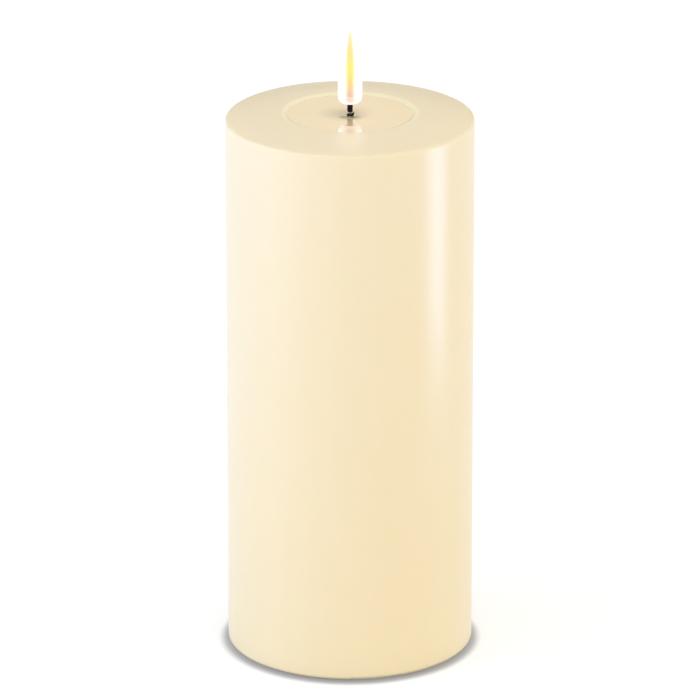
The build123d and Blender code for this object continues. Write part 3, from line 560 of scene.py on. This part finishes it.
# ================================================================ cell sleeves
def cell_sleeve(node, towards, body, band):
    """The shrink sleeve over a cell's can, rolled in over both ends. The nub points towards +X or -X."""
    low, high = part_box(node)
    centre_y, centre_z, radius = (low.y + high.y) / 2, (low.z + high.z) / 2, (high.z - low.z) / 2
    nub = 1.2 * MM
    can_low, can_high = (low.x, high.x - nub) if towards > 0 else (low.x + nub, high.x)
    skin, roll, past, gap = 0.09 * MM, 0.9 * MM, 0.08 * MM, 0.02 * MM
    bend, turn, inner_bend, inner_turn = 0.5 * MM, 0.3 * MM, 0.55 * MM, 0.35 * MM
    profile = [(radius - roll, can_low - past),
               (radius - turn, can_low - past),
               (radius + skin, can_low + bend),
               (radius + skin, can_high - bend),
               (radius - turn, can_high + past),
               (radius - roll, can_high + past),
               (radius - roll, can_high + gap),
               (radius - inner_turn, can_high),
               (radius - gap, can_high - inner_bend),
               (radius - gap, can_low + inner_bend),
               (radius - inner_turn, can_low),
               (radius - roll, can_low - gap)]
    points, faces = turned(profile, 72)
    points = [Vector((p.z, p.x + centre_y, p.y + centre_z)) for p in points]
    band_length = 0.27 * (can_high - can_low)
    band_low = can_high - band_length if towards > 0 else can_low
    material = sleeve_finish(node + "_sleeve_look", body, band, band_low, band_low + band_length + past)
    return piece_of(node + "_sleeve", points, faces, material, "cell_jacket", crease=50)


SLEEVE_BLACK, COPPER_BAND = (0.02, 0.022, 0.026), (0.72, 0.45, 0.22)
for node, towards in (("cell_rear", 1), ("cell_front", -1)):
    cell_sleeve(node, towards, SLEEVE_BLACK, COPPER_BAND)


# ================================================================ studio
def floor():
    """A plain pale floor, with a painted contact shadow where it meets the candle's foot."""
    around = 96
    angles = [2 * pi * step / around for step in range(around)]
    points = [(floor_radius * cos(angle), floor_radius * sin(angle), 0) for angle in angles]
    mesh = bpy.data.meshes.new("floor")
    mesh.from_pydata(points, [], [tuple(range(around))])
    made = Finish("floor_look", roughness=0.8, specular_ior_level=0.1)
    grain = made.noise(60 * MM, 2)
    open_floor = made.mix(grain, (0.59, 0.59, 0.59), (0.61, 0.61, 0.61))
    # painted shadow: the floor darkens and glows less close to the candle's foot
    shade_from, shade_to = wax_high.x, wax_high.x + painted_shadow_reach
    shade = made.spread(made.radius(), shade_from, shade_to, 0.7, 0, smooth=True)
    made.set("Base Color", made.mix(shade, open_floor, (0.16, 0.16, 0.17)))
    made.set("Emission Color", (1.0, 1.0, 1.0))
    glow_past_shadow = made.spread(made.radius(), shade_from, shade_to, 0.2, 0.42, smooth=True)
    made.set("Emission Strength", glow_past_shadow)
    mesh.materials.append(made.material)
    piece = bpy.data.objects.new("floor", mesh)
    bpy.context.scene.collection.objects.link(piece)


def studio_light():
    """A surround blended from six directions' colours, a pale wall in gloss, and white to the camera."""
    world = bpy.data.worlds.new("studio")
    bpy.context.scene.world = world
    world.use_nodes = True
    tree = world.node_tree

    def step(kind, *inputs, **fields):
        """A node with its fields and first inputs set."""
        made = tree.nodes.new(kind)
        for field, value in fields.items():
            setattr(made, field, value)
        for socket, value in zip(made.inputs, inputs):
            if isinstance(value, bpy.types.NodeSocket):
                tree.links.new(value, socket)
            else:
                socket.default_value = value
        return made.outputs

    place = step("ShaderNodeTexCoord")["Generated"]
    parts = step("ShaderNodeSeparateXYZ", place)
    total = None
    for axis, sign, colour in SURROUND:
        towards = step("ShaderNodeMath", parts[axis], sign, operation="MULTIPLY", use_clamp=True)[0]
        share = step("ShaderNodeMath", towards, 2, operation="POWER")[0]
        grey = step("ShaderNodeCombineXYZ", share, share, share)[0]
        part = step("ShaderNodeVectorMath", grey, colour, operation="MULTIPLY")[0]
        total = step("ShaderNodeVectorMath", total, part)[0] if total else part
    ray = step("ShaderNodeLightPath")
    foot = step("ShaderNodeMapRange", parts["Z"], *wall_foot, interpolation_type="SMOOTHSTEP")[0]
    head = step("ShaderNodeMapRange", parts["Z"], *wall_head, interpolation_type="SMOOTHSTEP")[0]
    wall = step("ShaderNodeMath", foot, head, operation="MULTIPLY")[0]
    shown = step("ShaderNodeMath", wall, ray["Is Glossy Ray"], operation="MULTIPLY")[0]
    surround = next(n for n in tree.nodes if n.type == "BACKGROUND")
    for share, colour in ((shown, WALL), (ray["Is Camera Ray"], (1, 1, 1))):
        blend = tree.nodes.new("ShaderNodeMix")
        blend.data_type = "VECTOR"
        tree.links.new(share, blend.inputs[0])
        tree.links.new(total, blend.inputs[4])
        blend.inputs[5].default_value = colour
        total = blend.outputs[1]
    tree.links.new(total, surround.inputs["Color"])


def softbox(name, place, target, width, height, radiance, colour, gloss_only=False):
    """An area light of a given brightness, aimed at a point. It can be kept to the gloss that it draws."""
    light = bpy.data.lights.new(name, "AREA")
    light.shape = "RECTANGLE"
    light.size, light.size_y = width, height
    light.color = colour
    light.energy = radiance * pi * width * height
    made = bpy.data.objects.new(name, light)
    made.location = place
    made.rotation_mode = "QUATERNION"
    made.rotation_quaternion = (Vector(target) - Vector(place)).to_track_quat("-Z", "Y")
    made.visible_camera = False
    made.visible_diffuse = not gloss_only
    bpy.context.scene.collection.objects.link(made)


def camera():
    """A long lens, so that the candle's sides stay almost parallel."""
    lens = bpy.data.cameras.new("camera")
    lens.lens = view_lens
    lens.clip_end = 100
    made = bpy.data.objects.new("camera", lens)
    tilt = radians(view_elevation)
    made.location = aim + view_distance * Vector((0, -cos(tilt), sin(tilt)))
    made.rotation_mode = "QUATERNION"
    made.rotation_quaternion = (aim - made.location).to_track_quat("-Z", "Y")
    bpy.context.scene.collection.objects.link(made)
    bpy.context.scene.camera = made


floor()
studio_light()
camera()
softbox("key", place=(-0.52, -0.16, 0.20), target=(0, 0, 0.09), width=0.55, height=0.38,
        radiance=2.45, colour=(0.47, 0.63, 1.0))
softbox("strip", place=(0.30, -0.038, 0.060), target=(0.03, -0.032, 0.125), width=0.10, height=0.10,
        radiance=8.8, colour=(0.34, 0.56, 1.0), gloss_only=True)
bpy.context.scene.view_settings.view_transform = "Standard"
